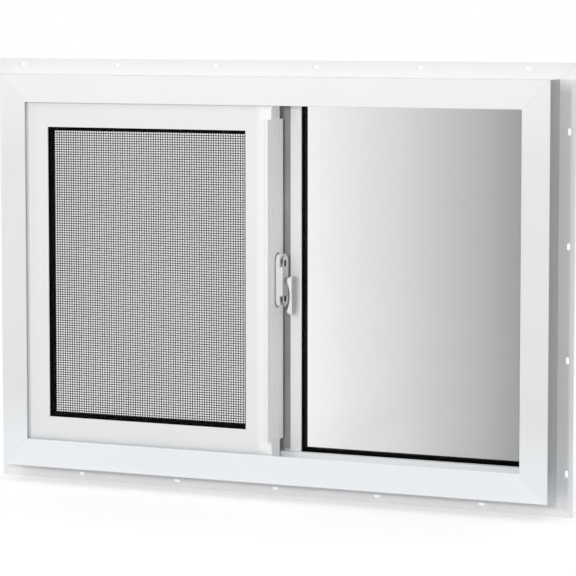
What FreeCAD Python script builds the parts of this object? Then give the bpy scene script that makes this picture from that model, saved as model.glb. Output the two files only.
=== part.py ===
import FreeCAD, Part
import math
import os

# Horizontal sliding window with an integral nailing fin, all values in millimetres.
# Local frame while building: X right from the left edge of the interior face,
# Y away from the room starting at the interior face, Z up from the bottom of the face.
# place() moves every solid to the packed frame, whose origin lies on the sill fin.

# Overall size of the frame without the fin
FRAME_W = 806.45
FRAME_H = 552.45
FRAME_DEPTH = 78.0
FIN_DEPTH = 39.5
FIN_WIDTH = 21.5
FIN_T = 2.0
ORIGIN_BELOW = 5.0

# Frame profile, heights measured inward from the outer edge of the frame
LIP_H = 38.9
LIP_T = 2.5
TRACK_FLOOR = 23.0
MID_T = 11.0
GLAZE_ROOM = 26.0
GLAZE_FLOOR = 29.0
EDGE_ROUND = 1.5
LIP_ROUND = 1.0

# Nail slots in the fin
SLOT_LEN = 9.5
SLOT_W = 4.8
SLOT_PITCH = 149.5
SLOT_OUT = 13.2
HEAD_SLOT_FIRST = 15.0
HEAD_SLOTS = 6
SILL_SLOTS = 5
JAMB_SLOT_FIRST = 35.7
JAMB_SLOTS = 4

# Clearances
SEAT = 0.3
MOVE_GAP = 5.0

# Sash
SASH_FRONT = 6.3
SASH_T = 26.2
SASH_BAR = 40.3
MEET_BAR = 39.5
SASH_LEFT_COVER = 7.5
SASH_SILL_COVER = 7.4
SASH_HEAD_COVER = 6.15
SASH_PAST_CENTRE = 10.275
SHOULDER_RUN = 22.0
SHOULDER_DROP = 3.0
SASH_LIP_T = 1.8
SASH_POCKET = 28.0

# Pull lip and interlock leg on the meeting stile
PULL_OUT = 14.3
PULL_RUN = 24.7
PULL_EDGE = 2.6
PULL_BASE = 2.0
SIDE_GROOVE_W = 1.4
SIDE_GROOVE_DEEP = 0.7
LEG_T = 3.0
LEG_FOOT = 6.5
NOTCH_TOP = 24.8
NOTCH_BOTTOM = 26.0

# Sealed glass units
PANE_T = 3.0
UNIT_GAP = 9.9
GLASS_EDGE = 2.0
SPACER_SIGHT = 3.3
SASH_SILL_SIGHT = 6.0
SASH_HEAD_SIGHT = 4.5
SPACER_W = 7.0

# Fixed meeting stile
FIX_BEFORE_CENTRE = 9.225
FIX_STILE_W = 43.3
FIX_FACE_STEP = 3.0
FIX_CHANNEL_STEP = 8.0
FIX_HOOK_T = 4.0
FIX_HOOK_GAP = 8.0
FIX_FACE_W = 15.3
FIX_POCKET = 9.3
FIX_GLASS_STEP = 1.5
FIX_BEAD_T = 6.0
FIX_HEAD_SIGHT = 1.5
FIX_SILL_SIGHT = 4.8
PILE_INSET = 0.5
PILE_T = 4.0

# Insect screen
SCREEN_STEP = 8.0
SCREEN_T = 9.0
SCREEN_BAR = 15.0
MESH_T = 0.4
MESH_LAP = 8.0

# Roller track and rollers
TRACK_TOP = 28.0
TRACK_RIB_T = 3.0
TRACK_BASE_W = 9.0
TRACK_BASE_T = 1.5
TRACK_Y = 20.5
ROLLER_R = 9.0
ROLLER_W = 6.0
ROLLER_INSET = 70.0
AXLE_R = 2.0

# Latch on the side of the meeting stile
LATCH_LEN = 72.5
LATCH_W = 20.0
LATCH_RIM = 6.3
LATCH_RIM_FAR = 11.0
LATCH_BLOCK = 11.0
LATCH_END = 16.5
LATCH_BLOCK_DROP = 1.2
LATCH_POCKET_FLOOR = 3.0
LATCH_POCKET_GAP = 0.2
LATCH_WALL = 2.2
LATCH_WALL_FAR = 4.4
LATCH_SLOT_DEEP = 2.8
LATCH_SLOT_H = 2.8
LATCH_SLOT_LEN = 8.5
LATCH_REVEAL = 0.8
LATCH_FRONT_Y = 16.5
LATCH_SCREW_GAP = 1.5
SCREW_R = 3.6
SCREW_H = 2.4
LEVER_LIFT = 6.5
LEVER_T = 6.3
LEVER_WAIST = 3.0
LEVER_TIP_T = 7.7
LEVER_W = 18.0
LEVER_UP = 6.5
LEVER_DOWN = 46.5
SPINDLE_R = 2.8
NECK_R = 3.2
SPINDLE_GAP = 0.05

# Values that follow from the ones above
LATCH_BLOCK_LEN = LATCH_LEN - 2 * LATCH_END
SCREW_AWAY = LATCH_BLOCK_DROP + LATCH_POCKET_GAP + LATCH_SCREW_GAP + SCREW_R
LATCH_SCREWS = LATCH_BLOCK_LEN + 2 * SCREW_AWAY
MID_BACK = FRAME_DEPTH - GLAZE_ROOM
MID_FRONT = MID_BACK - MID_T
SASH_BACK = SASH_FRONT + SASH_T
SASH_X0 = LIP_H - SASH_LEFT_COVER
SASH_X1 = FRAME_W / 2 + SASH_PAST_CENTRE
SASH_Z0 = LIP_H - SASH_SILL_COVER
SASH_Z1 = FRAME_H - LIP_H + SASH_HEAD_COVER
SASH_GLASS_FRONT = SASH_FRONT + SASH_LIP_T + SEAT
UNIT_T = 2 * PANE_T + UNIT_GAP
LATCH_Z = FRAME_H / 2
LATCH_Y = LATCH_FRONT_Y + LATCH_W / 2
FIX_STILE_LEFT = FRAME_W / 2 - FIX_BEFORE_CENTRE
FIX_X1 = FIX_STILE_LEFT + FIX_STILE_W
FIX_FRONT = MID_BACK - FIX_FACE_STEP
FIX_CHANNEL = MID_BACK + FIX_CHANNEL_STEP
FIX_HOOK_FRONT = SASH_BACK + FIX_HOOK_GAP
FIX_GLASS_FRONT = MID_BACK + FIX_GLASS_STEP
LEG_OUT = FIX_FRONT - MOVE_GAP - SASH_BACK
SCREEN_FRONT = MID_BACK + SCREEN_STEP


def vec(x, y, z):
    return FreeCAD.Vector(x, y, z)


def place(shape):
    """Moves a solid from the local frame to the packed frame."""
    out = shape.copy()
    out.translate(vec(-FRAME_W / 2, -FIN_DEPTH, ORIGIN_BELOW))
    return out


def save(name, shape):
    if not shape.isValid():
        raise ValueError("bad solid: " + name)
    if len(shape.Solids) != 1:
        raise ValueError("not one solid: " + name)
    place(shape.Solids[0]).exportStep("parts/" + name + ".step")


def box(x0, y0, z0, x1, y1, z1):
    return Part.makeBox(x1 - x0, y1 - y0, z1 - z0, vec(x0, y0, z0))


def face_of(points):
    return Part.Face(Part.makePolygon(points + [points[0]]))


def corner(a, p, b, radius):
    """Start, middle and end of the arc that rounds corner p between a and b."""
    u = (a - p).normalize()
    w = (b - p).normalize()
    half = u.getAngle(w) / 2
    reach = radius / math.tan(half)
    axis = (u + w).normalize()
    middle = p + axis * (radius / math.sin(half) - radius)
    return p + u * reach, middle, p + w * reach


def outline(points):
    """Face from vectors: (vector, radius) is a corner, (vector, "via") bends the edge there."""
    spots = [(v, r) for v, r in points if r != "via"]
    bends = {}
    count = -1
    for v, r in points:
        if r == "via":
            bends[count] = v
        else:
            count += 1
    n = len(spots)
    arcs = []
    for i, (v, r) in enumerate(spots):
        if r:
            arcs.append(corner(spots[i - 1][0], v, spots[(i + 1) % n][0], r))
        else:
            arcs.append((v, None, v))
    edges = []
    for i in range(n):
        start, middle, end = arcs[i]
        if middle is not None:
            edges.append(Part.Arc(start, middle, end).toShape())
        after = arcs[(i + 1) % n][0]
        if i in bends:
            edges.append(Part.Arc(end, bends[i], after).toShape())
        elif end.distanceToPoint(after) > 1e-6:
            edges.append(Part.makeLine(end, after))
    return Part.Face(Part.Wire(edges))


def prism_y(points, y0, y1):
    """Extrudes an X-Z outline from depth y0 to depth y1."""
    flat = [vec(x, y0, z) for x, z in points]
    return face_of(flat).extrude(vec(0, y1 - y0, 0))


def prism_z(points, z0, z1):
    """Extrudes an X-Y outline, with its corner radii, from height z0 to height z1."""
    flat = [(vec(x, y, z0), r) for x, y, r in points]
    return outline(flat).extrude(vec(0, 0, z1 - z0))


def grow(rect, by):
    x0, z0, x1, z1 = rect
    return (x0 - by, z0 - by, x1 + by, z1 + by)


def mitre(side, outer, inner, y0, y1):
    """The block between two mitre cuts for one side of a rectangular ring."""
    ox0, oz0, ox1, oz1 = outer
    ix0, iz0, ix1, iz1 = inner
    shapes = {
        "sill": [(ox0, oz0), (ox1, oz0), (ix1, iz0), (ix0, iz0)],
        "head": [(ox0, oz1), (ix0, iz1), (ix1, iz1), (ox1, oz1)],
        "left": [(ox0, oz0), (ix0, iz0), (ix0, iz1), (ox0, oz1)],
        "right": [(ox1, oz0), (ox1, oz1), (ix1, iz1), (ix1, iz0)],
    }
    return prism_y(shapes[side], y0, y1)


def bar(side, ref, profile):
    """Extrudes a (depth, inward, radius) profile along one side of the ref rectangle."""
    x0, z0, x1, z1 = ref
    over = 60.0
    across = vec(x1 - x0 + 2 * over, 0, 0)
    upward = vec(0, 0, z1 - z0 + 2 * over)
    if side == "sill":
        pts = [(vec(x0 - over, y, z0 + r), k) for y, r, k in profile]
        return outline(pts).extrude(across)
    if side == "head":
        pts = [(vec(x0 - over, y, z1 - r), k) for y, r, k in profile]
        return outline(pts).extrude(across)
    if side == "left":
        pts = [(vec(x0 + r, y, z0 - over), k) for y, r, k in profile]
        return outline(pts).extrude(upward)
    pts = [(vec(x1 - r, y, z0 - over), k) for y, r, k in profile]
    return outline(pts).extrude(upward)


def ring_piece(side, ref, outer, inner, profile):
    depths = [y for y, r, k in profile]
    cut = mitre(side, outer, inner, min(depths) - 1, max(depths) + 1)
    return bar(side, ref, profile).common(cut)


def slot_y(x, z, along_x, y0, y1):
    """A nail slot through the fin, long along X or along Z."""
    half = (SLOT_LEN - SLOT_W) / 2
    r = SLOT_W / 2
    run = vec(0, y1 - y0, 0)
    dx, dz = (half, 0) if along_x else (0, half)
    a = Part.makeCylinder(r, y1 - y0, vec(x - dx, y0, z - dz), vec(0, 1, 0))
    b = Part.makeCylinder(r, y1 - y0, vec(x + dx, y0, z + dz), vec(0, 1, 0))
    if along_x:
        mid = box(x - half, y0, z - r, x + half, y0 + run.y, z + r)
    else:
        mid = box(x - r, y0, z - half, x + r, y0 + run.y, z + half)
    return a.fuse([b, mid]).removeSplitter()


def nail_slots(side):
    """Centres of the nail slots of one side, in the local frame."""
    out = []
    if side == "head":
        for i in range(HEAD_SLOTS):
            out.append((HEAD_SLOT_FIRST + i * SLOT_PITCH, FRAME_H + SLOT_OUT))
    elif side == "sill":
        first = FRAME_W / 2 - (SILL_SLOTS - 1) / 2 * SLOT_PITCH
        for i in range(SILL_SLOTS):
            out.append((first + i * SLOT_PITCH, -SLOT_OUT))
    else:
        x = -SLOT_OUT if side == "left" else FRAME_W + SLOT_OUT
        for i in range(JAMB_SLOTS):
            out.append((x, JAMB_SLOT_FIRST + i * SLOT_PITCH))
    return out


FRAME_RECT = (0.0, 0.0, FRAME_W, FRAME_H)


def frame_profile():
    e = LIP_ROUND
    return [
        (0, 0, EDGE_ROUND),
        (0, LIP_H, e),
        (LIP_T, LIP_H, e),
        (LIP_T, TRACK_FLOOR, 0),
        (MID_FRONT, TRACK_FLOOR, 0),
        (MID_FRONT, LIP_H, e),
        (MID_BACK, LIP_H, e / 2),
        (MID_BACK, GLAZE_FLOOR, 0),
        (FRAME_DEPTH, GLAZE_FLOOR, e),
        (FRAME_DEPTH, 0, EDGE_ROUND),
        (FIN_DEPTH + FIN_T, 0, 0),
        (FIN_DEPTH + FIN_T, -FIN_WIDTH, 0),
        (FIN_DEPTH, -FIN_WIDTH, 0),
        (FIN_DEPTH, 0, 0),
    ]


def frame_bar(side):
    outer = grow(FRAME_RECT, FIN_WIDTH)
    inner = grow(FRAME_RECT, -LIP_H)
    out = ring_piece(side, FRAME_RECT, outer, inner, frame_profile())
    along = side in ("sill", "head")
    for x, z in nail_slots(side):
        out = out.cut(slot_y(x, z, along, FIN_DEPTH - 1, FIN_DEPTH + FIN_T + 1))
    return out


def unit_panes(x0, z0, x1, z1, front):
    """Inner pane, spacer ring bounds and outer pane of a sealed glass unit."""
    inner = box(x0, front, z0, x1, front + PANE_T, z1)
    back = front + PANE_T + UNIT_GAP
    outer = box(x0, back, z0, x1, back + PANE_T, z1)
    return inner, outer


def sight_rect(day, at_sill, at_head):
    """The spacer's inner edge: how far it shows inside a daylight rectangle."""
    x0, z0, x1, z1 = day
    return (x0 + SPACER_SIGHT, z0 + at_sill, x1 - SPACER_SIGHT, z1 - at_head)


def spacer(sight, front):
    """A ring between the panes whose inner edge lies on the sight rectangle."""
    ix0, iz0, ix1, iz1 = sight
    ox0, oz0, ox1, oz1 = grow(sight, SPACER_W)
    y0 = front + PANE_T
    y1 = y0 + UNIT_GAP
    ring = box(ox0, y0, oz0, ox1, y1, oz1)
    return ring.cut(box(ix0, y0 - 1, iz0, ix1, y1 + 1, iz1))


# Sash rectangles: outside, daylight edge and glass pocket
SASH_RECT = (SASH_X0, SASH_Z0, SASH_X1, SASH_Z1)
SASH_DAY = (SASH_X0 + SASH_BAR, SASH_Z0 + SASH_BAR, SASH_X1 - MEET_BAR, SASH_Z1 - SASH_BAR)
SASH_LAP = SASH_BAR - SASH_POCKET


def sash_profile():
    lip_back = SASH_FRONT + SASH_LIP_T
    return [
        (SASH_FRONT + SHOULDER_DROP, 0, 0),
        (SASH_FRONT + SHOULDER_DROP * 0.27, SHOULDER_RUN * 0.48, "via"),
        (SASH_FRONT, SHOULDER_RUN, 0),
        (SASH_FRONT, SASH_BAR, SASH_LIP_T * 0.4),
        (lip_back, SASH_BAR, 0),
        (lip_back, SASH_POCKET, 0),
        (SASH_BACK, SASH_POCKET, 0),
        (SASH_BACK, 0, LIP_ROUND),
    ]


def roller_spots():
    return (SASH_X0 + ROLLER_INSET, SASH_X1 - ROLLER_INSET)


def roller_z():
    return TRACK_TOP + SEAT + ROLLER_R


def sash_bar(side):
    out = ring_piece(side, SASH_RECT, SASH_RECT, SASH_DAY, sash_profile())
    if side == "sill":
        half = ROLLER_R + 2
        top = roller_z() + ROLLER_R + 2
        y0 = TRACK_Y - ROLLER_W / 2 - 1
        y1 = TRACK_Y + ROLLER_W / 2 + 1
        for x in roller_spots():
            out = out.cut(box(x - half, y0, SASH_Z0 - 1, x + half, y1, top))
    return out


def meeting_stile():
    """Right stile of the sash with the pull lip in front and the leg behind."""
    x1 = SASH_X1
    x0 = x1 - MEET_BAR
    lip_back = SASH_FRONT + SASH_LIP_T
    pocket = x0 + SASH_LAP
    body = [
        (x0, SASH_FRONT, SASH_LIP_T * 0.4),
        (x1 - PULL_RUN, SASH_FRONT, 0),
        (x1, SASH_FRONT - PULL_BASE, LIP_ROUND / 2),
        (x1, SASH_BACK, LIP_ROUND / 2),
        (pocket, SASH_BACK, 0),
        (pocket, lip_back, 0),
        (x0, lip_back, 0),
    ]
    cut = mitre("right", SASH_RECT, SASH_DAY, SASH_FRONT - 2 * PULL_OUT, SASH_BACK + 1)
    out = prism_z(body, SASH_Z0 - 1, SASH_Z1 + 1).common(cut)
    # Both ends are shaved back where they run behind the lips of the frame
    low = LIP_H + MOVE_GAP
    high = FRAME_H - low
    cover = LIP_T + MOVE_GAP
    for a, b, y in (
        (SASH_Z0 - 1, low, SASH_FRONT),
        (high, SASH_Z1 + 1, SASH_FRONT),
        (SASH_Z0 - 1, LIP_H + 1, cover),
        (FRAME_H - LIP_H - 1, SASH_Z1 + 1, cover),
    ):
        out = out.cut(box(x0 - 1, SASH_FRONT - PULL_OUT, a, x1 + 1, y, b))
    z0 = SASH_Z0 + NOTCH_BOTTOM
    z1 = SASH_Z1 - NOTCH_TOP
    # The pull lip rises to the room in a hollow curve
    front = SASH_FRONT - PULL_OUT
    deep = SASH_FRONT + 1
    pull = [
        (x1 - PULL_RUN, SASH_FRONT, 0),
        (x1 - PULL_RUN * 0.40, SASH_FRONT - PULL_OUT * 0.33, "via"),
        (x1 - PULL_EDGE, front, 0),
        (x1 - PULL_EDGE / 2, front - 0.4, "via"),
        (x1, front + 0.8, 0),
        (x1, deep, 0),
        (x1 - PULL_RUN, deep, 0),
    ]
    # The leg behind ends in a foot that hooks towards the fixed stile
    back = SASH_BACK + LEG_OUT
    leg = [
        (x1 - LEG_T, SASH_BACK - 1, 0),
        (x1, SASH_BACK - 1, 0),
        (x1, back, LIP_ROUND / 2),
        (x1 - LEG_FOOT, back, LIP_ROUND / 2),
        (x1 - LEG_FOOT, back - LEG_T, 0),
        (x1 - LEG_T, back - LEG_T, 0),
    ]
    out = out.fuse([prism_z(pull, z0, z1).common(cut), prism_z(leg, z0, z1)])
    # Two shallow grooves run down the side where lip and leg spring from the stile
    for y in (SASH_FRONT, SASH_BACK):
        y0 = y - SIDE_GROOVE_W / 2
        groove = box(x1 - SIDE_GROOVE_DEEP, y0, z0, x1 + 1, y0 + SIDE_GROOVE_W, z1)
        out = out.cut(groove)
    return out.removeSplitter()


def sash_glass_rect():
    return grow(SASH_DAY, SASH_LAP - GLASS_EDGE)


def bead_piece(side, day, lap, y0, y1):
    """A glazing bead with a bevelled sight edge on one side of an opening."""
    outer = grow(day, lap - SEAT)
    bevel = (y1 - y0) * 0.6
    profile = [
        (y0, 0, 0),
        (y1, 0, 0),
        (y1, lap - SEAT - bevel, 0),
        (y0 + 0.4 * (y1 - y0), lap - SEAT, 0),
        (y0, lap - SEAT, 0),
    ]
    return ring_piece(side, outer, outer, day, profile)


def roller(x):
    """A wheel with an axle that ends at the walls of its slot."""
    y0 = TRACK_Y - ROLLER_W / 2
    z = roller_z()
    wheel = Part.makeCylinder(ROLLER_R, ROLLER_W, vec(x, y0, z), vec(0, 1, 0))
    reach = ROLLER_W + 2 - 2 * SEAT
    y = TRACK_Y - reach / 2
    axle = Part.makeCylinder(AXLE_R, reach, vec(x, y, z), vec(0, 1, 0))
    return wheel.fuse(axle).removeSplitter()


def roller_track():
    x0 = LIP_H + SEAT
    x1 = FRAME_W - LIP_H - SEAT
    r = TRACK_RIB_T / 2
    b = TRACK_BASE_W / 2
    t = TRACK_FLOOR + TRACK_BASE_T
    pts = [
        (TRACK_Y - b, TRACK_FLOOR),
        (TRACK_Y + b, TRACK_FLOOR),
        (TRACK_Y + b, t),
        (TRACK_Y + r, t),
        (TRACK_Y + r, TRACK_TOP - r),
        (TRACK_Y + r / 2, TRACK_TOP),
        (TRACK_Y - r / 2, TRACK_TOP),
        (TRACK_Y - r, TRACK_TOP - r),
        (TRACK_Y - r, t),
        (TRACK_Y - b, t),
    ]
    face = face_of([vec(x0, y, z) for y, z in pts])
    return face.extrude(vec(x1 - x0, 0, 0))


def fixed_stile():
    """Fixed meeting stile with its hook, channel and glazing pocket."""
    x0 = FIX_STILE_LEFT
    x1 = FIX_X1
    pts = [
        (x0, FIX_HOOK_FRONT, 0),
        (x0 + FIX_HOOK_T, FIX_HOOK_FRONT, 0),
        (x0 + FIX_HOOK_T, FIX_CHANNEL, 0),
        (x1 - FIX_FACE_W, FIX_CHANNEL, 0),
        (x1 - FIX_FACE_W, FIX_FRONT, LIP_ROUND),
        (x1, FIX_FRONT, LIP_ROUND),
        (x1, FIX_GLASS_FRONT - SEAT, 0),
        (x1 - FIX_POCKET, FIX_GLASS_FRONT - SEAT, 0),
        (x1 - FIX_POCKET, FRAME_DEPTH, 0),
        (x0, FRAME_DEPTH, 0),
    ]
    z0 = GLAZE_FLOOR + SEAT
    z1 = FRAME_H - GLAZE_FLOOR - SEAT
    out = prism_z(pts, z0, z1)
    # The ends step over the middle wall of the sill and the head
    back = MID_BACK + SEAT
    low = box(x0 - 1, 0, z0 - 1, x1 + 1, back, LIP_H + SEAT)
    high = box(x0 - 1, 0, FRAME_H - LIP_H - SEAT, x1 + 1, back, z1 + 1)
    return out.cut(low).cut(high)


FIX_DAY = (FIX_X1, LIP_H, FRAME_W - LIP_H, FRAME_H - LIP_H)
FIX_LAP = FIX_POCKET


def fixed_bead(side):
    y0 = FIX_GLASS_FRONT + UNIT_T + SEAT
    return bead_piece(side, FIX_DAY, FIX_LAP, y0, y0 + FIX_BEAD_T)


def pile_strip():
    x0 = FIX_STILE_LEFT + FIX_HOOK_T + PILE_INSET
    x1 = FIX_X1 - FIX_FACE_W - PILE_INSET
    z0 = LIP_H + 3
    return box(x0, FIX_CHANNEL - PILE_T, z0, x1, FIX_CHANNEL, FRAME_H - z0)


SCREEN_RECT = (
    GLAZE_FLOOR + SEAT,
    GLAZE_FLOOR + SEAT,
    FIX_STILE_LEFT - SEAT,
    FRAME_H - GLAZE_FLOOR - SEAT,
)


def screen_bar(side):
    y0 = SCREEN_FRONT
    y1 = SCREEN_FRONT + SCREEN_T
    profile = [
        (y0, 0, 0),
        (y0, SCREEN_BAR, EDGE_ROUND),
        (y1, SCREEN_BAR, EDGE_ROUND),
        (y1, 0, 0),
    ]
    inner = grow(SCREEN_RECT, -SCREEN_BAR)
    return ring_piece(side, SCREEN_RECT, SCREEN_RECT, inner, profile)


def screen_mesh():
    x0, z0, x1, z1 = grow(SCREEN_RECT, MESH_LAP - SCREEN_BAR)
    return box(x0, SCREEN_FRONT - MESH_T, z0, x1, SCREEN_FRONT, z1)


def pill(length, width, x0, x1):
    """A plate with round ends standing on the side of the meeting stile."""
    r = width / 2
    half = length / 2 - r
    run = x1 - x0
    low = Part.makeCylinder(r, run, vec(x0, LATCH_Y, LATCH_Z - half), vec(1, 0, 0))
    high = Part.makeCylinder(r, run, vec(x0, LATCH_Y, LATCH_Z + half), vec(1, 0, 0))
    mid = box(x0, LATCH_Y - r, LATCH_Z - half, x1, LATCH_Y + r, LATCH_Z + half)
    return mid.fuse([low, high]).removeSplitter()


def latch_base():
    x0 = SASH_X1
    top = x0 + LATCH_BLOCK
    floor = x0 + LATCH_POCKET_FLOOR
    near = LATCH_Y - LATCH_W / 2
    far = LATCH_Y + LATCH_W / 2
    # A narrow reveal runs round the foot of the housing
    gap = 2 * LATCH_REVEAL
    foot = pill(LATCH_LEN - gap, LATCH_W - gap, x0, x0 + LATCH_REVEAL + 0.5)
    # The rim of both ends slopes: low towards the room, high at the back
    low = x0 + LATCH_RIM
    high = x0 + LATCH_RIM_FAR
    slope = [(low, near - 1, 0), (high, far, 0), (high + 9, far, 0), (high + 9, near - 1, 0)]
    over = prism_z(slope, LATCH_Z - LATCH_LEN, LATCH_Z + LATCH_LEN)
    x0 = x0 + LATCH_REVEAL
    out = pill(LATCH_LEN, LATCH_W, x0, high).cut(over).fuse(foot)
    z0 = LATCH_Z - LATCH_BLOCK_DROP - LATCH_BLOCK_LEN / 2
    z1 = z0 + LATCH_BLOCK_LEN
    block = pill(LATCH_LEN, LATCH_W, x0, top)
    out = out.fuse(block.common(box(x0, near, z0, top, far, z1))).removeSplitter()
    # Screw pockets at both ends follow the round outline, with a thick wall at the back
    inner = pill(LATCH_LEN - 2 * LATCH_WALL, LATCH_W - 2 * LATCH_WALL, floor, top + 1)
    z0 = z0 - LATCH_POCKET_GAP
    z1 = z1 + LATCH_POCKET_GAP
    inner = inner.cut(box(x0, near, z0, top + 2, far, z1))
    wall = far - LATCH_WALL_FAR
    inner = inner.cut(box(x0, wall, LATCH_Z - LATCH_LEN, top + 2, far, LATCH_Z + LATCH_LEN))
    out = out.cut(inner)
    # A slot is sunk in the back wall of each pocket
    x1 = high - 1.4
    for z in (z0 - LATCH_SLOT_LEN, z1):
        slot = box(x1 - LATCH_SLOT_H, wall - 1, z, x1, wall + LATCH_SLOT_DEEP, z + LATCH_SLOT_LEN)
        out = out.cut(slot)
    hole = SPINDLE_R + SPINDLE_GAP
    bore = Part.makeCylinder(hole, LATCH_BLOCK + 2, vec(SASH_X1 - 1, LATCH_Y, LATCH_Z), vec(1, 0, 0))
    return out.cut(bore)


def latch_screw(sign):
    z = LATCH_Z + sign * LATCH_SCREWS / 2
    x = SASH_X1 + LATCH_POCKET_FLOOR
    head = Part.makeCylinder(SCREW_R, SCREW_H, vec(x, LATCH_Y, z), vec(1, 0, 0))
    slot_a = box(x + SCREW_H - 1, LATCH_Y - 0.5, z - 2, x + SCREW_H + 1, LATCH_Y + 0.5, z + 2)
    slot_b = box(x + SCREW_H - 1, LATCH_Y - 2, z - 0.5, x + SCREW_H + 1, LATCH_Y + 2, z + 0.5)
    return head.cut(slot_a).cut(slot_b)


def latch_lever():
    """Hanging lever: a waisted blade seen from the room, on a round spindle."""
    x_out = SASH_X1 + LATCH_BLOCK + LEVER_LIFT + LEVER_T
    y0 = LATCH_Y - LEVER_W / 2
    z_top = LATCH_Z + LEVER_UP
    z_tip = LATCH_Z - LEVER_DOWN
    a = vec(x_out - LEVER_T, y0, LATCH_Z - 2)
    b = vec(x_out - LEVER_WAIST, y0, LATCH_Z - LEVER_DOWN * 0.42)
    c = vec(x_out - LEVER_TIP_T, y0, z_tip + 5)
    edges = [
        Part.Arc(a, b, c).toShape(),
        Part.makeLine(c, vec(x_out - LEVER_TIP_T + 1.5, y0, z_tip + 2)),
        Part.makeLine(vec(x_out - LEVER_TIP_T + 1.5, y0, z_tip + 2), vec(x_out - 1.5, y0, z_tip)),
        Part.makeLine(vec(x_out - 1.5, y0, z_tip), vec(x_out, y0, z_tip + 2)),
        Part.makeLine(vec(x_out, y0, z_tip + 2), vec(x_out, y0, z_top - 2)),
        Part.makeLine(vec(x_out, y0, z_top - 2), vec(x_out - 1.5, y0, z_top)),
        Part.Arc(vec(x_out - 1.5, y0, z_top), vec(x_out - LEVER_T + 1, y0, z_top - 2.6), a).toShape(),
    ]
    blade = Part.Face(Part.Wire(edges)).extrude(vec(0, LEVER_W, 0))
    # The outline seen along the spindle tapers a little to the tip
    w = LEVER_W / 2
    plan = [
        (LATCH_Y - w + 3, z_top),
        (LATCH_Y - w, z_top - 3),
        (LATCH_Y - w + 1.5, z_tip + 4),
        (LATCH_Y - w + 4.5, z_tip),
        (LATCH_Y + w - 4.5, z_tip),
        (LATCH_Y + w - 1.5, z_tip + 4),
        (LATCH_Y + w, z_top - 3),
        (LATCH_Y + w - 3, z_top),
    ]
    x0 = x_out - LEVER_TIP_T - 1
    sides = face_of([vec(x0, y, z) for y, z in plan]).extrude(vec(LEVER_TIP_T + 2, 0, 0))
    blade = blade.common(sides)
    start = SASH_X1 + 1
    length = x_out - LEVER_T + 0.5 - start
    spindle = Part.makeCylinder(SPINDLE_R, length, vec(start, LATCH_Y, LATCH_Z), vec(1, 0, 0))
    neck_x = SASH_X1 + LATCH_BLOCK + SEAT
    neck_len = x_out - LEVER_T + 0.5 - neck_x
    neck = Part.makeCylinder(NECK_R, neck_len, vec(neck_x, LATCH_Y, LATCH_Z), vec(1, 0, 0))
    return blade.fuse([spindle, neck]).removeSplitter()


def main():
    os.makedirs("parts", exist_ok=True)
    names = {"sill": "sill", "head": "head", "left": "left_jamb", "right": "right_jamb"}
    for side in ("sill", "head", "left", "right"):
        save("frame_" + names[side], frame_bar(side))
    save("roller_track", roller_track())
    save("fixed_stile", fixed_stile())
    save("interlock_pile", pile_strip())

    gx0, gz0, gx1, gz1 = grow(FIX_DAY, FIX_LAP - GLASS_EDGE)
    inner, outer = unit_panes(gx0, gz0, gx1, gz1, FIX_GLASS_FRONT)
    save("fixed_pane_inner", inner)
    save("fixed_pane_outer", outer)
    sight = sight_rect(FIX_DAY, FIX_SILL_SIGHT, FIX_HEAD_SIGHT)
    save("fixed_spacer", spacer(sight, FIX_GLASS_FRONT))
    for side in ("sill", "head", "left", "right"):
        save("fixed_bead_" + side, fixed_bead(side))
        save("screen_bar_" + side, screen_bar(side))
    save("screen_mesh", screen_mesh())

    rails = {"sill": "bottom_rail", "head": "top_rail", "left": "left_stile"}
    for side in ("sill", "head", "left"):
        save("sash_" + rails[side], sash_bar(side))
    save("sash_meeting_stile", meeting_stile())
    gx0, gz0, gx1, gz1 = sash_glass_rect()
    inner, outer = unit_panes(gx0, gz0, gx1, gz1, SASH_GLASS_FRONT)
    save("sash_pane_inner", inner)
    save("sash_pane_outer", outer)
    sight = sight_rect(SASH_DAY, SASH_SILL_SIGHT, SASH_HEAD_SIGHT)
    save("sash_spacer", spacer(sight, SASH_GLASS_FRONT))
    bead_y = SASH_GLASS_FRONT + UNIT_T + SEAT
    for side in ("sill", "head", "left", "right"):
        save("sash_bead_" + side, bead_piece(side, SASH_DAY, SASH_LAP, bead_y, SASH_BACK))
    left, right = roller_spots()
    save("sash_roller_left", roller(left))
    save("sash_roller_right", roller(right))

    save("latch_base", latch_base())
    save("latch_screw_top", latch_screw(1))
    save("latch_screw_bottom", latch_screw(-1))
    save("latch_lever", latch_lever())


main()
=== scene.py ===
import math

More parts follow.
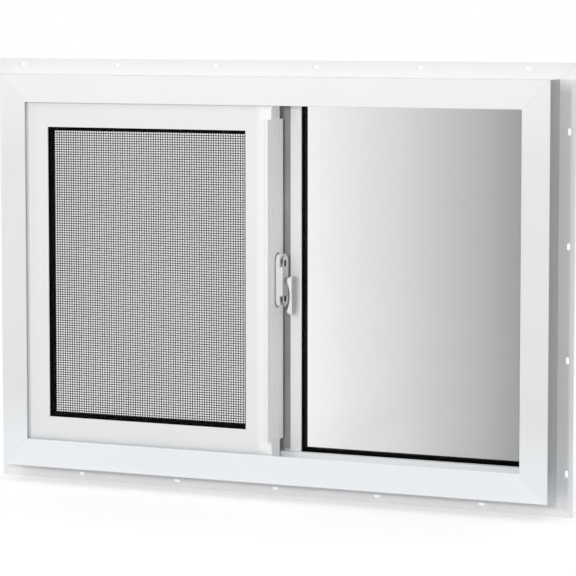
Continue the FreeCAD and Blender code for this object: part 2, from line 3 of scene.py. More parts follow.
import bmesh
import bpy
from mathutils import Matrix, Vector


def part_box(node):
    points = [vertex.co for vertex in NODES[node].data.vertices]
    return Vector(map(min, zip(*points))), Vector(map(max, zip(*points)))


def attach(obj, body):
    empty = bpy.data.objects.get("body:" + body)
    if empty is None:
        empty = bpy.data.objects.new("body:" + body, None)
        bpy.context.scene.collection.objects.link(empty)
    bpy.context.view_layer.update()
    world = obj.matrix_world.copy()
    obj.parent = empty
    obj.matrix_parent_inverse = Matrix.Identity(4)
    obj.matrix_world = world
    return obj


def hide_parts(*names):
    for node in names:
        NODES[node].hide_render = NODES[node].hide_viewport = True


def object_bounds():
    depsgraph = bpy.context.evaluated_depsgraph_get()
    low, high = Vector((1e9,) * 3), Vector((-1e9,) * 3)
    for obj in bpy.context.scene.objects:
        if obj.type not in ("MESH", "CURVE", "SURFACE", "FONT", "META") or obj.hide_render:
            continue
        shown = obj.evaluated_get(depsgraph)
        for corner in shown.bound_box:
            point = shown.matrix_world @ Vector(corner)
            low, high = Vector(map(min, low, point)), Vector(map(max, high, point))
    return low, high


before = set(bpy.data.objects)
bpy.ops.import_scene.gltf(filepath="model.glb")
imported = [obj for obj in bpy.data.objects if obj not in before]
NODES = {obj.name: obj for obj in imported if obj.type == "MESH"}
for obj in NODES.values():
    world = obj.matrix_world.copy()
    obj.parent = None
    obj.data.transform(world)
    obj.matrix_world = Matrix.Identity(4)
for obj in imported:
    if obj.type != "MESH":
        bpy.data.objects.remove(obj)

CAD_LO, CAD_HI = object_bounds()
SCENE = bpy.context.scene

# All lengths are in metres. The fin's front lies at y = 0 and the room is at negative y.

# Light: the world's strength in front of the window, behind it and added overhead, and the
# parts of a direction's y and z over which it changes from one to the next
FRONT_FILL = 0.42
BACK_FILL = 0.72
TOP_FILL = 0.42
BACK_TURN = (-0.15, 0.45)
TOP_TURN = (0.35, 0.9)
FILL_COLOUR = (0.985, 0.99, 1.0, 1)
WHITE = (1, 1, 1, 1)

# Lamps: degrees to the left and up as seen from the room, side of the lamp and its watts
LAMPS = {
    "left_lamp": {"left": 26.0, "up": 13.0, "size": 0.5, "watts": 12.5},
    "front_lamp": {"left": -10.0, "up": 10.5, "size": 0.3, "watts": 20.5},
}
LAMP_FAR = 3.0
LAMP_AIM = Vector((0, -0.03, 0.28))
LAMP_COLOUR = (1.0, 0.995, 0.985)

# Floor: its half side, the gap below the object, its tone and the lift to white where it is seen
FLOOR_HALF = 14.0
FLOOR_GAP = 0.0003
FLOOR_DARK = (0.80, 0.80, 0.80)
FLOOR_LIGHT = (0.82, 0.82, 0.82)
FLOOR_LIFT = 0.34

# Camera: a square picture, with its centre of perspective above the middle
IMAGE_PX = 576
CENTRE_ROW = 230.0
FOCAL_PX = 2661.738
SENSOR = 36.0
CAMERA_AT = (1.442473, -3.313035, 0.645144)
CAMERA_YAW = math.radians(-23.2441)
CAMERA_PITCH = math.radians(4.69852)

# Colours, and the shares of plain vinyl that other places have
VINYL = (0.855, 0.86, 0.865)
# Painted shade: the jambs take a darker copy of the frame's vinyl
JAMB_SHADE_SHARE = 0.975
# Painted light on the head's top wall
CROWN_LIGHT_SHARE = 1.09
# Painted light on the pull lip of the meeting stile
PULL_LIGHT_SHARE = 1.09
# Painted light on the sash's left shoulder
SHOULDER_LIGHT_SHARE = 1.12
# Painted light: the fixed stile takes a lighter copy of the vinyl
STILE_LIGHT_SHARE = 1.10
BEAD_SHARE = 0.98
# Grey of the painted shade on the jambs' outer walls and the right fin, and of the mitre lines
SHADE_AND_JOINT_GREY = (0.285, 0.287, 0.29)
# Steel grey of the spindle, dark enough to be painted shade as well
SPINDLE_SHADE_STEEL = (0.30, 0.30, 0.304)
# Painted shade inside the slots of the screw pockets
SLOT_SHADE_BLACK = (0.02, 0.02, 0.021)

# The frame's vinyl, from 5 mm below its face to 5 mm above it, in painted light by height:
# lighter on the sill and the head than along the middle, and lightest at the very bottom
FRAME_SPAN = (0.0, 0.5625)
FRAME_LIGHT_TONES = [
    (0.0, (0.955, 0.960, 0.972)),
    (0.03, (0.890, 0.922, 0.946)),
    (0.08, (0.885, 0.912, 0.932)),
    (0.20, (0.806, 0.811, 0.815)),
    (0.78, (0.794, 0.798, 0.802)),
    (0.93, (0.846, 0.850, 0.854)),
    (0.988, (0.850, 0.854, 0.858)),
    (1.0, (0.800, 0.804, 0.808)),
]

# The sash's vinyl, from its bottom to its top, in painted light that is lighter towards the
# bottom
SASH_LIGHT_TONES = [
    (0.0, (0.828, 0.838, 0.847)),
    (0.2, (0.822, 0.830, 0.837)),
    (0.5, (0.808, 0.812, 0.816)),
    (1.0, (0.806, 0.810, 0.814)),
]

# Glass: the fixed lite's tint from left to right between the spacers, which is a painted
# reflection, and the shine of all panes
REFLECTION_GREYS = [
    (0.0, (0.974, 0.975, 0.976)),
    (0.42, (0.909, 0.910, 0.911)),
    (0.77, (0.834, 0.835, 0.836)),
    (1.0, (0.757, 0.758, 0.759)),
]
SPACER_W = 0.007
CLEAR_TINT = (0.979, 0.976, 0.982)
CLEAR_DARK = 0.995
GLASS_IOR = 1.06
GLASS_SHINE = (0.95, 0.95, 0.95, 1)
GLASS_ROUGH = 0.02

# Half the width of the frame between its outer walls, and the bottom and top of its face
WALL_X = 0.403225
FACE_Z = (0.005, 0.55745)

# How far from a face a painted zone starts and stops to fade in, and where a longer fade ends
FADE_FROM = 0.0006
FADE_TO = 0.0001
FADE_END = 0.0002

# Shade on the jambs' outer walls: its share at the fin and at the floor, and the height from
# which it is full
WALL_AT_FIN = 0.55
WALL_AT_FLOOR = 0.35
WALL_LOW = 0.05

# Shade on the right fin: its strength, and where it fades outward, backward and at both ends
FIN_SHADE = 0.41
FIN_OUT = (0.0135, 0.018)
FIN_BACK = (0.0004, 0.0006)
FIN_TOP = (0.540, 0.553)
FIN_BOTTOM = (-0.010, 0.025)

# Light on the head's top wall: where it starts below the edge, where it starts to fade above
# it, and its share at the fin's rim
CROWN_FROM = 0.0004
CROWN_CLEAR = 0.003
CROWN_LEFT = 0.1

# Sash: where its shoulder turns flat, from its left edge, and where its pull lip starts to rise
# and is steep; the painted light on the shoulder and the lip fades over these
SHOULDER = (0.008, 0.016)
PULL_X = (-0.0145, -0.004)

# Mitre lines: their core, their rim and their strength
MITRE_CORE = 0.00015
MITRE_RIM = 0.0005
MITRE_SHADE = 0.2

# Latch: its axis and spindle, the underside of the lever, how far a face has to turn sideways
# to take painted shade, and the slots in the screw pockets, which are painted dark as shade
LATCH_AXIS = Vector((0.0, -0.013, 0.281225))
SPINDLE_RIM = (0.0034, 0.0037)
LEVER_UNDER = 0.0275
LEVER_FADE = 0.0004
SIDE_FACING = (0.55, 0.95)
SLOT_X = (0.016275, 0.019075)
SLOT_FADE = 0.0002
SLOT_START = (-0.0073, -0.0068)
SLOT_END = (-0.0045, -0.0043)

# Small rounds on edges, in width, steps and degrees, and how far the spacers are drawn in
WELD = 0.00001
VINYL_ROUND = (0.0003, 2, 35.0)
LATCH_ROUND = (0.0008, 3, 30.0)
SPACER_IN = 0.00008

# Insect screen: pitch and width of the wires that stand upright and that lie level, their
# thickness, and how far they swing to each side
PITCH_X = 0.0037
PITCH_Z = 0.00338
UPRIGHT_W = 0.00126
LEVEL_W = 0.00115
WIRE_T = 0.0003
WIRE_SWING = 0.00012

# Dark ring round the foot of the latch, painted shade that draws the shadow line there:
# how far it stands out, its thickness and its steps per end
SHADOW_RING_OUT = 0.0011
SHADOW_RING_T = 0.0003
SHADOW_RING_STEPS = 24

# Noise: the part of its range that a change of tone or gloss is spread over, its scale and
# detail for a slow change of tone, the ends of that on graded vinyl, and the swing of gloss
NOISE_LOW = 0.3
NOISE_HIGH = 0.7
TONE_SCALE = 9.0
TONE_DETAIL = 4.0
TONE_DARK = (0.988, 0.988, 0.988)
TONE_LIGHT = (1, 1, 1)
GLOSS_SWING = 0.04


# Node helpers

def material(name):
    """A new node material: returns it with its tree and its Principled node."""
    mat = bpy.data.materials.new(name)
    mat.use_nodes = True
    tree = mat.node_tree
    return mat, tree, tree.nodes["Principled BSDF"]


def add(tree, kind, sockets):
    """A new node; each input takes a plain value or the output that feeds it."""
    node = tree.nodes.new(kind)
    for key, value in sockets.items():
        if isinstance(value, bpy.types.NodeSocket):
            tree.links.new(value, node.inputs[key])
        else:
            node.inputs[key].default_value = value
    return node


def noise(tree, coord, scale, detail):
    sockets = {"Vector": coord, "Scale": scale, "Detail": detail}
    return add(tree, "ShaderNodeTexNoise", sockets).outputs["Fac"]


def span(tree, value, low, high, to_low, to_high):
    """Maps a value from one range to another and holds it at both ends."""
    sockets = {
        "Value": value,
        "From Min": low,
        "From Max": high,
        "To Min": to_low,
        "To Max": to_high,
    }
    return add(tree, "ShaderNodeMapRange", sockets).outputs["Result"]


def ramp(tree, value, stops):
    """Colours along a value, from (position, colour) stops."""
    node = add(tree, "ShaderNodeValToRGB", {"Fac": value})
    elements = node.color_ramp.elements
    for element, (position, colour) in zip(elements, (stops[0], stops[-1])):
        element.position = position
        element.color = (*colour, 1)
    for position, colour in stops[1:-1]:
        elements.new(position).color = (*colour, 1)
    return node.outputs["Color"]


def mottle(tree, tone, dark, light):
    """A colour that goes from dark to light with a noise."""
    return ramp(tree, tone, [(NOISE_LOW, dark), (NOISE_HIGH, light)])


def uneven(tree, tone, low, high):
    """A value that goes from low to high with a noise."""
    return span(tree, tone, NOISE_LOW, NOISE_HIGH, low, high)


def calc(tree, kind, first, second=0.0):
    """A Math node of one or two values."""
    node = add(tree, "ShaderNodeMath", {0: first, 1: second})
    node.operation = kind
    return node.outputs["Value"]


def product(tree, first, *others):
    for other in others:
        first = calc(tree, "MULTIPLY", first, other)
    return first


def axes(tree, vector):
    split = add(tree, "ShaderNodeSeparateXYZ", {"Vector": vector})
    return split.outputs["X"], split.outputs["Y"], split.outputs["Z"]


def object_coord(tree):
    return tree.nodes.new("ShaderNodeTexCoord").outputs["Object"]


def blended(tree, fac, first, colour):
    """Lays a plain colour over another by a mask."""
    sockets = {"Fac": fac, "Color1": first, "Color2": (*colour, 1)}
    return add(tree, "ShaderNodeMixRGB", sockets).outputs["Color"]


def bump(tree, height, strength, distance, shader):
    sockets = {"Height": height, "Strength": strength, "Distance": distance}
    node = add(tree, "ShaderNodeBump", sockets)
    tree.links.new(node.outputs["Normal"], shader.inputs["Normal"])


def shade(colour, factor):
    return tuple(min(1.0, c * factor) for c in colour)


# Masks: each gives the share of a second colour at a place on the object; all but the mitre
# lines paint light or shade, the spindle's in part

def wall_shade_mask(tree, coord):
    """Painted shade on the jambs' outer walls: most next to the face, less towards the fin and
    the floor.
    """
    x, y, z = axes(tree, coord)
    apart = calc(tree, "ABSOLUTE", x)
    out = span(tree, apart, WALL_X - FADE_FROM, WALL_X - FADE_TO, 0.0, 1.0)
    front = span(tree, y, CAD_LO.y, -FADE_END, 1.0, WALL_AT_FIN)
    before_fin = span(tree, y, -FADE_FROM, -FADE_TO, 1.0, 0.0)
    low = span(tree, z, 0.0, WALL_LOW, WALL_AT_FLOOR, 1.0)
    return product(tree, out, front, before_fin, low)


def fin_shadow_mask(tree, coord):
    """Painted shadow of the frame on the inner part of the right fin's front."""
    x, y, z = axes(tree, coord)
    out = span(tree, x, WALL_X - FADE_TO, WALL_X + FADE_END, 0.0, 1.0)
    inner = span(tree, x, WALL_X + FIN_OUT[0], WALL_X + FIN_OUT[1], FIN_SHADE, 0.0)
    front = span(tree, y, -FADE_FROM, -FADE_TO, 0.0, 1.0)
    back = span(tree, y, *FIN_BACK, 1.0, 0.0)
    top = span(tree, z, *FIN_TOP, 1.0, 0.0)
    bottom = span(tree, z, *FIN_BOTTOM, 0.0, 1.0)
    return product(tree, out, inner, front, back, top, bottom)


def crown_light_mask(tree, coord):
    """Painted light on the top wall of the head and, less and less, on the fin above it."""
    z = axes(tree, coord)[2]
    wall = span(tree, z, FACE_Z[1] - CROWN_FROM, FACE_Z[1] - FADE_TO, 0.0, 1.0)
    fin = span(tree, z, FACE_Z[1] + CROWN_CLEAR, CAD_HI.z, 1.0, CROWN_LEFT)
    return product(tree, wall, fin)


def pull_light_mask(tree, coord):
    """Painted light that rises with the pull lip of the meeting stile."""
    return span(tree, axes(tree, coord)[0], *PULL_X, 0.0, 1.0)


def shoulder_light_mask(tree, coord):
    """Painted light on the sloping shoulder at the sash's left."""
    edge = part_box("sash_left_stile")[0].x
    x = axes(tree, coord)[0]
    return span(tree, x, edge + SHOULDER[0], edge + SHOULDER[1], 1.0, 0.0)


def mitre_mask(x0, x1, z0, z1):
    """The fine lines at which the bars of a rectangle meet."""
    def mask(tree, coord):
        x, _, z = axes(tree, coord)
        across = calc(tree, "ABSOLUTE", calc(tree, "SUBTRACT", x, (x0 + x1) / 2))
        upward = calc(tree, "ABSOLUTE", calc(tree, "SUBTRACT", z, (z0 + z1) / 2))
        corner = (x1 - x0 - z1 + z0) / 2
        apart = calc(tree, "SUBTRACT", calc(tree, "SUBTRACT", across, upward), corner)
        apart = calc(tree, "ABSOLUTE", apart)
        return span(tree, apart, MITRE_CORE, MITRE_RIM, MITRE_SHADE, 0.0)
    return mask


def side_shade_mask(tree, coord):
    """Painted shade on the broad faces that turn to the side, wherever they are."""
    normal = tree.nodes.new("ShaderNodeNewGeometry").outputs["Normal"]
    return span(tree, axes(tree, normal)[0], *SIDE_FACING, 0.0, 1.0)


def spindle_mask(tree, coord):
    """The lever's spindle and neck, up to the underside of the lever; its steel grey is partly
    painted shade.
    """
    x, y, z = axes(tree, coord)
    flat = add(tree, "ShaderNodeCombineXYZ", {"Y": y, "Z": z}).outputs["Vector"]
    axis = (0, LATCH_AXIS.y, LATCH_AXIS.z)
    away = add(tree, "ShaderNodeVectorMath", {0: flat, 1: axis})
    away.operation = "DISTANCE"
    near = span(tree, away.outputs["Value"], *SPINDLE_RIM, 1.0, 0.0)
    under = span(tree, x, LEVER_UNDER - LEVER_FADE, LEVER_UNDER, 1.0, 0.0)
    return product(tree, near, under)


def slot_shade_mask(tree, coord):
    """Painted shade inside the slots in the back wall of the screw pockets."""
    x, y, _ = axes(tree, coord)
    deep = span(tree, y, *SLOT_START, 0.0, 1.0)
    low = span(tree, x, SLOT_X[0] - SLOT_FADE, SLOT_X[0], 0.0, 1.0)
    high = span(tree, x, SLOT_X[1], SLOT_X[1] + SLOT_FADE, 1.0, 0.0)
    back = span(tree, y, *SLOT_END, 1.0, 0.0)
    return product(tree, deep, low, high, back)


# Paints: each gives a colour that depends on the place on the object

def mottled(colour, spread=0.012, scale=TONE_SCALE):
    """One colour with a slow change of tone."""
    def paint(tree, coord):
        tone = noise(tree, coord, scale, TONE_DETAIL)
        return mottle(tree, tone, shade(colour, 1 - spread), shade(colour, 1 + spread))
    return paint


def height_painted_light(limits, stops):
    """Painted light that changes slowly with height, over a slight mottle."""
    def paint(tree, coord):
        up = span(tree, axes(tree, coord)[2], *limits, 0.0, 1.0)
        tone = noise(tree, coord, TONE_SCALE, TONE_DETAIL)
        sockets = {
            "Fac": 1.0,
            "Color1": ramp(tree, up, stops),
            "Color2": mottle(tree, tone, TONE_DARK, TONE_LIGHT),
        }
        mix = add(tree, "ShaderNodeMixRGB", sockets)
        mix.blend_type = "MULTIPLY"
        return mix.outputs["Color"]
    return paint


def tinted(tint):
    """The tint of clear glass, with a faint change over the pane."""
    def paint(tree, coord):
        return mottle(tree, noise(tree, coord, 4.0, 2.0), shade(tint, CLEAR_DARK), tint)
    return paint


def reflection_grade(x0, x1, stops):
    """A painted reflection: a grey tint that changes from left to right."""
    def paint(tree, coord):
        return ramp(tree, span(tree, axes(tree, coord)[0], x0, x1, 0.0, 1.0), stops)
    return paint


# Materials

def moulded(name, paint, rough, grain=1400.0, depth=0.00002, strength=0.25,
            shine=0.5, patches=60.0, marks=()):
    """Moulded or painted finish: paint, marks on it, mostly painted light and shade, a fine grain
    and uneven gloss.
    """
    mat, tree, bsdf = material(name)
    coord = object_coord(tree)
    colour = paint(tree, coord)
    for mask, mark in marks:
        colour = blended(tree, mask(tree, coord), colour, mark)
    patchy = noise(tree, coord, patches, 3.0)
    gloss = uneven(tree, patchy, rough - GLOSS_SWING, rough + GLOSS_SWING)
    tree.links.new(colour, bsdf.inputs["Base Color"])
    tree.links.new(gloss, bsdf.inputs["Roughness"])
    bsdf.inputs["Specular IOR Level"].default_value = shine
    bump(tree, noise(tree, coord, grain, 2.0), strength, depth, bsdf)
    return mat


def latch_paint(name, colour, side):
    """Satin paint with painted shade on its sides, a steel spindle darkened as painted shade, and
    slots painted dark as shade.
    """
    marks = [(side_shade_mask, side), (spindle_mask, SPINDLE_SHADE_STEEL), (slot_shade_mask, SLOT_SHADE_BLACK)]
    return moulded(
        name, mottled(colour, 0.015, 40.0), 0.32, grain=1800.0, depth=0.00001,
        strength=0.2, patches=90.0, marks=marks,
    )


def clear_glass(name, paint):
    """A pane that passes light straight through, with a Fresnel reflection on top."""
    mat, tree, bsdf = material(name)
    tree.nodes.remove(bsdf)
    tint = paint(tree, object_coord(tree))
    through = add(tree, "ShaderNodeBsdfTransparent", {"Color": tint})
    gloss = {"Color": GLASS_SHINE, "Roughness": GLASS_ROUGH}
    shine = add(tree, "ShaderNodeBsdfGlossy", gloss)
    fresnel = add(tree, "ShaderNodeFresnel", {"IOR": GLASS_IOR})
    sockets = {0: fresnel.outputs["Fac"], 1: through.outputs["BSDF"], 2: shine.outputs["BSDF"]}
    mix = add(tree, "ShaderNodeMixShader", sockets)
    tree.links.new(mix.outputs["Shader"], tree.nodes["Material Output"].inputs["Surface"])
    return mat


def metal(name, colour, rough, scale, along=(1, 1, 1)):
    """Metal with fine drawn lines."""
    mat, tree, bsdf = material(name)
    bsdf.inputs["Metallic"].default_value = 1.0
    sockets = {"Vector": object_coord(tree), "Scale": along}
    stretch = add(tree, "ShaderNodeMapping", sockets).outputs["Vector"]
    lines = noise(tree, stretch, scale, 4.0)
    drawn = mottle(tree, lines, shade(colour, 0.8), colour)
    tree.links.new(drawn, bsdf.inputs["Base Color"])
    tree.links.new(uneven(tree, lines, rough - 0.06, rough + 0.08), bsdf.inputs["Roughness"])
    bump(tree, lines, 0.15, 0.00003, bsdf)
    return mat


GLASS_X = (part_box("fixed_spacer")[0].x + SPACER_W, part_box("fixed_spacer")[1].x - SPACER_W)
SASH_X = (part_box("sash_top_rail")[0].x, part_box("sash_top_rail")[1].x)
SASH_Z = (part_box("sash_bottom_rail")[0].z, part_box("sash_top_rail")[1].z)
JAMB_SHADED_TONES = [(at, shade(colour, JAMB_SHADE_SHARE)) for at, colour in FRAME_LIGHT_TONES]
# Painted shade and light on the frame, and its mitre lines
FRAME_MARKS = [
    (wall_shade_mask, SHADE_AND_JOINT_GREY),
    (fin_shadow_mask, SHADE_AND_JOINT_GREY),
    (crown_light_mask, shade(VINYL, CROWN_LIGHT_SHARE)),
    (mitre_mask(-WALL_X, WALL_X, *FACE_Z), SHADE_AND_JOINT_GREY),
]
# Painted light on the sash's shoulder and pull lip, and its mitre lines
SASH_MARKS = [
    (shoulder_light_mask, shade(VINYL, SHOULDER_LIGHT_SHARE)),
    (pull_light_mask, shade(VINYL, PULL_LIGHT_SHARE)),
    (mitre_mask(*SASH_X, *SASH_Z), SHADE_AND_JOINT_GREY),
]

MATERIALS = {
    # The frame's vinyl carries painted light by height and the frame's painted marks
    "level_vinyl": moulded(
        "level_vinyl", height_painted_light(FRAME_SPAN, FRAME_LIGHT_TONES), 0.42, marks=FRAME_MARKS
    ),
    # The jambs' vinyl: a darker copy, which is painted shade
    "upright_shaded_vinyl": moulded(
        "upright_shaded_vinyl", height_painted_light(FRAME_SPAN, JAMB_SHADED_TONES), 0.42, marks=FRAME_MARKS
    ),
    # The fixed stile's vinyl: a lighter copy, which is painted light
    "stile_lit_vinyl": moulded("stile_lit_vinyl", mottled(shade(VINYL, STILE_LIGHT_SHARE)), 0.40),
    # The sash's vinyl carries painted light by height and on its shoulder and pull lip
    "sash_vinyl": moulded("sash_vinyl", height_painted_light(SASH_Z, SASH_LIGHT_TONES), 0.40, marks=SASH_MARKS),
    "bead_vinyl": moulded("bead_vinyl", mottled(shade(VINYL, BEAD_SHARE)), 0.45),
    "clear_glass": clear_glass("clear_glass", tinted(CLEAR_TINT)),
    # The fixed lite's grey tint is a painted reflection
    "painted_reflection_glass": clear_glass("painted_reflection_glass", reflection_grade(*GLASS_X, REFLECTION_GREYS)),
    "black_spacer": moulded(
        "black_spacer", mottled((0.003, 0.003, 0.0033), 0.2), 0.6,
        grain=700.0, depth=0.00001, strength=0.1, shine=0.03,
    ),
    "grey_pile": moulded(
        "grey_pile", mottled((0.42, 0.42, 0.422), 0.2), 0.9, grain=900.0, depth=0.0002
    ),
    "white_aluminium": moulded(
        "white_aluminium", mottled((0.82, 0.825, 0.83)), 0.33, grain=2200.0, depth=0.00001
    ),
    "screen_mesh": moulded(
        "screen_mesh", mottled((0.035, 0.035, 0.037), 0.25), 0.6, grain=2500.0, depth=0.00003
    ),
    # The second colour of the latch and of the lever is painted shade on their sides
    "white_latch": latch_paint("white_latch", (0.86, 0.865, 0.87), (0.59, 0.592, 0.596)),
    "white_lever": latch_paint("white_lever", (0.80, 0.805, 0.81), (0.40, 0.402, 0.405)),
    # Painted shade: the dark ring round the foot of the latch
    "latch_shadow_ring": moulded(
        "latch_shadow_ring", mottled((0.06, 0.06, 0.062), 0.2), 0.7, grain=1500.0, shine=0.2
    ),
    "screw_steel": metal("screw_steel", (0.30, 0.30, 0.31), 0.38, 2500.0),
    "roller_nylon": moulded(
        "roller_nylon", mottled((0.72, 0.72, 0.70), 0.05), 0.5, grain=1200.0, depth=0.00003
    ),
    "track_aluminium": metal("track_aluminium", (0.72, 0.73, 0.74), 0.36, 300.0, (0.02, 1, 1)),
}


def finish_of(node):
    """The material of a CAD node, from its name."""
    if node.startswith("fixed_pane"):
        return "painted_reflection_glass"
    if node.startswith("sash_pane"):
        return "clear_glass"
    if node.endswith("spacer"):
        return "black_spacer"
    if "bead" in node:
        return "bead_vinyl"
    if node.startswith("screen_bar"):
        return "white_aluminium"
    if node == "screen_mesh":
        return "screen_mesh"
    if node == "interlock_pile":
        return "grey_pile"
    if node == "roller_track":
        return "track_aluminium"
    if "roller" in node:
        return "roller_nylon"
    if "screw" in node:
        return "screw_steel"
    if node == "latch_lever":
        return "white_lever"
    if node == "latch_base":
        return "white_latch"
    if node.startswith("sash"):
        return "sash_vinyl"
    if node == "fixed_stile":
        return "stile_lit_vinyl"
    return "upright_shaded_vinyl" if "jamb" in node else "level_vinyl"


def weld(obj):
    obj.modifiers.new("weld", "WELD").merge_threshold = WELD


def soften(obj, width, segments, angle):
    """Rounds the sharp edges of a CAD node a little, so that they catch light."""
    weld(obj)
    edge = obj.modifiers.new("edge", "BEVEL")
    edge.width = width
    edge.segments = segments
    edge.limit_method = "ANGLE"
    edge.angle_limit = math.radians(angle)
    even = obj.modifiers.new("even", "WEIGHTED_NORMAL")
    even.keep_sharp = True


def draw_in(obj, by):
    """Draws a CAD node's faces in by a hair, off the panes that it touches."""
    weld(obj)
    shrink = obj.modifiers.new("shrink", "DISPLACE")
    shrink.strength = -by
    shrink.mid_level = 0.0


for name, node in NODES.items():
    finish = finish_of(name)
    node.data.materials.clear()
    node.data.materials.append(MATERIALS[finish])
    if finish == "black_spacer":
        draw_in(node, SPACER_IN)
    elif finish.endswith("vinyl"):
        soften(node, *VINYL_ROUND)
    elif finish in ("white_latch", "white_lever"):
        soften(node, *LATCH_ROUND)


def piece(name, verts, faces, finish):
    """A new object of the scene from its points and faces."""
    mesh = bpy.data.meshes.new(name)
    mesh.from_pydata(verts, [], faces)
    mesh.materials.append(MATERIALS[finish])
    obj = bpy.data.objects.new(name, mesh)
    SCENE.collection.objects.link(obj)
    return obj


# Insect screen: woven wires in place of the plain sheet

def wires(name, across, pitch, width):
    """One set of screen wires, each waving over and under the wires that cross it."""
    lo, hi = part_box("screen_mesh")
    mid = (lo.y + hi.y) / 2
    a = (lo.x, hi.x) if across == "x" else (lo.z, hi.z)
    b = (lo.z, hi.z) if across == "x" else (lo.x, hi.x)
    lines = int((a[1] - a[0]) / pitch[0])
    steps = int((b[1] - b[0]) / pitch[1])
    first = (a[0] + a[1]) / 2 - (lines - 1) * pitch[0] / 2
    start = (b[0] + b[1]) / 2 - (steps - 1) * pitch[1] / 2
    half = width / 2
    over = 1 if across == "x" else -1
    verts, faces = [], []
    for i in range(lines):
        u = first + i * pitch[0]
        base = len(verts)
        for k in range(steps):
            v = start + k * pitch[1]
            side = over if (i + k) % 2 else -over
            y = mid + side * WIRE_SWING
            ring = [(u - half, y), (u, y - WIRE_T / 2), (u + half, y), (u, y + WIRE_T / 2)]
            for uu, yy in ring:
                verts.append((uu, yy, v) if across == "x" else (v, yy, uu))
        for k in range(steps - 1):
            p = base + 4 * k
            for j in range(4):
                q = (j + 1) % 4
                faces.append((p + j, p + q, p + 4 + q, p + 4 + j))
        last = base + 4 * (steps - 1)
        faces.append((base + 3, base + 2, base + 1, base))
        faces.append((last, last + 1, last + 2, last + 3))
    obj = piece(name, verts, faces, "screen_mesh")
    work = bmesh.new()
    work.from_mesh(obj.data)
    bmesh.ops.recalc_face_normals(work, faces=work.faces)
    work.to_mesh(obj.data)
    work.free()
    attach(obj, "frame")
    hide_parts("screen_mesh")


wires("screen_wires_upright", "x", (PITCH_X, PITCH_Z), UPRIGHT_W)
wires("screen_wires_level", "z", (PITCH_Z, PITCH_X), LEVEL_W)


# Painted shade: a dark ring that shows as a shadow line round the foot of the latch

def latch_shadow_ring():
    lo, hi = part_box("latch_base")
    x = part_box("sash_meeting_stile")[1].x
    r = (hi.y - lo.y) / 2 + SHADOW_RING_OUT
    y = (lo.y + hi.y) / 2
    ring = []
    for z, turn in ((hi.z + SHADOW_RING_OUT - r, 0.0), (lo.z - SHADOW_RING_OUT + r, math.pi)):
        for k in range(SHADOW_RING_STEPS + 1):
            a = turn + math.pi * k / SHADOW_RING_STEPS
            ring.append((y + r * math.cos(a), z + r * math.sin(a)))
    n = len(ring)
    verts = [(x, a, b) for a, b in ring] + [(x + SHADOW_RING_T, a, b) for a, b in ring]
    faces = [tuple(range(n - 1, -1, -1)), tuple(range(n, 2 * n))]
    for k in range(n):
        q = (k + 1) % n
        faces.append((k, q, n + q, n + k))
    obj = piece("latch_shadow_ring", verts, faces, "latch_shadow_ring")
    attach(obj, "sash")


latch_shadow_ring()


# Stage: world, floor, lamps and camera

def white_for_sight(tree):
    """1 for rays that look at the scene, straight or through or by way of gloss."""
    path = tree.nodes.new("ShaderNodeLightPath")
    total = path.outputs["Is Camera Ray"]
    for name in ("Is Glossy Ray", "Is Transmission Ray"):
        total = calc(tree, "MAXIMUM", total, path.outputs[name])
    return total


def make_world():
    """Soft light from all round, more from behind and from above, and white to look at."""
    world = bpy.data.worlds.new("studio")
    SCENE.world = world
    world.use_nodes = True
    tree = world.node_tree
    tree.nodes.clear()
    way = tree.nodes.new("ShaderNodeTexCoord").outputs["Generated"]
    _, y, z = axes(tree, way)
    level = span(tree, y, *BACK_TURN, FRONT_FILL, BACK_FILL)
    above = span(tree, z, *TOP_TURN, 0.0, TOP_FILL)
    strength = calc(tree, "ADD", level, above)
    soft = add(tree, "ShaderNodeBackground", {"Color": FILL_COLOUR, "Strength": strength})
    white = add(tree, "ShaderNodeBackground", {"Color": WHITE, "Strength": 1.0})
    sockets = {
        0: white_for_sight(tree),
        1: soft.outputs["Background"],
        2: white.outputs["Background"],
    }
    mix = add(tree, "ShaderNodeMixShader", sockets)
    add(tree, "ShaderNodeOutputWorld", {"Surface": mix.outputs["Shader"]})


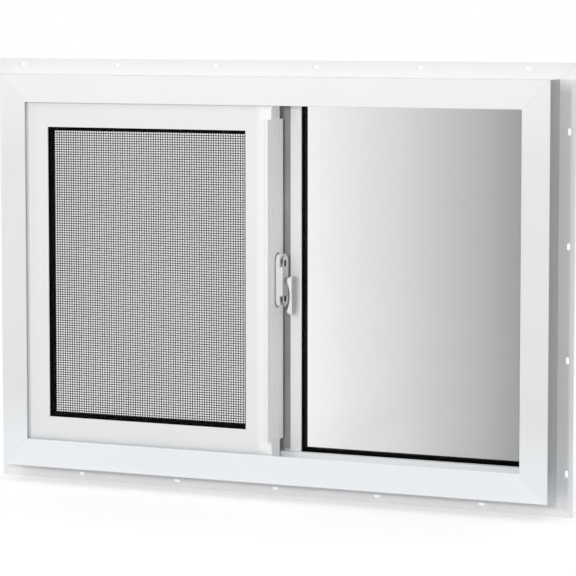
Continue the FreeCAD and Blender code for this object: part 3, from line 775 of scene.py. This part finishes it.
def make_floor():
    """A plain pale floor that keeps the object's shadow."""
    z = CAD_LO.z - FLOOR_GAP
    half = FLOOR_HALF
    mesh = bpy.data.meshes.new("floor")
    corners = [(-half, -half, z), (half, -half, z), (half, half, z), (-half, half, z)]
    mesh.from_pydata(corners, [], [(0, 1, 2, 3)])
    floor = bpy.data.objects.new("floor", mesh)
    SCENE.collection.objects.link(floor)
    mat, tree, bsdf = material("pale_floor")
    tone = noise(tree, object_coord(tree), 3.0, 3.0)
    tree.links.new(mottle(tree, tone, FLOOR_DARK, FLOOR_LIGHT), bsdf.inputs["Base Color"])
    bsdf.inputs["Roughness"].default_value = 0.9
    bsdf.inputs["Specular IOR Level"].default_value = 0.1
    strength = calc(tree, "MULTIPLY", white_for_sight(tree), FLOOR_LIFT)
    lift = add(tree, "ShaderNodeEmission", {"Strength": strength})
    sockets = {0: bsdf.outputs["BSDF"], 1: lift.outputs["Emission"]}
    both = add(tree, "ShaderNodeAddShader", sockets)
    tree.links.new(both.outputs["Shader"], tree.nodes["Material Output"].inputs["Surface"])
    mesh.materials.append(mat)


def aimed(name, data, place, way):
    """Puts a lamp or camera at a place, looking along a direction."""
    obj = bpy.data.objects.new(name, data)
    obj.location = place
    obj.rotation_mode = "QUATERNION"
    obj.rotation_quaternion = way.to_track_quat("-Z", "Y")
    SCENE.collection.objects.link(obj)
    return obj


def make_lamp(name, left, up, size, watts):
    """A soft lamp in front of the window, at so many degrees to the left and up."""
    left, up = math.radians(left), math.radians(up)
    lamp = bpy.data.lights.new(name, "AREA")
    lamp.shape = "RECTANGLE"
    lamp.size = size
    lamp.size_y = size
    lamp.energy = watts
    lamp.color = LAMP_COLOUR
    level = math.cos(up)
    way = Vector((-math.sin(left) * level, -math.cos(left) * level, math.sin(up)))
    aimed(name, lamp, LAMP_AIM + way * LAMP_FAR, -way)


def make_camera():
    cam = bpy.data.cameras.new("camera")
    cam.sensor_width = SENSOR
    cam.sensor_fit = "HORIZONTAL"
    cam.lens = FOCAL_PX / IMAGE_PX * SENSOR
    cam.shift_y = (CENTRE_ROW - IMAGE_PX / 2) / IMAGE_PX
    cam.clip_start, cam.clip_end = 0.05, 100.0
    level = math.cos(CAMERA_PITCH)
    ahead = Vector((
        math.sin(CAMERA_YAW) * level,
        math.cos(CAMERA_YAW) * level,
        -math.sin(CAMERA_PITCH),
    ))
    SCENE.camera = aimed("camera", cam, CAMERA_AT, ahead)


make_world()
make_floor()
for name, lamp in LAMPS.items():
    make_lamp(name, **lamp)
make_camera()
SCENE.view_settings.view_transform = "Standard"
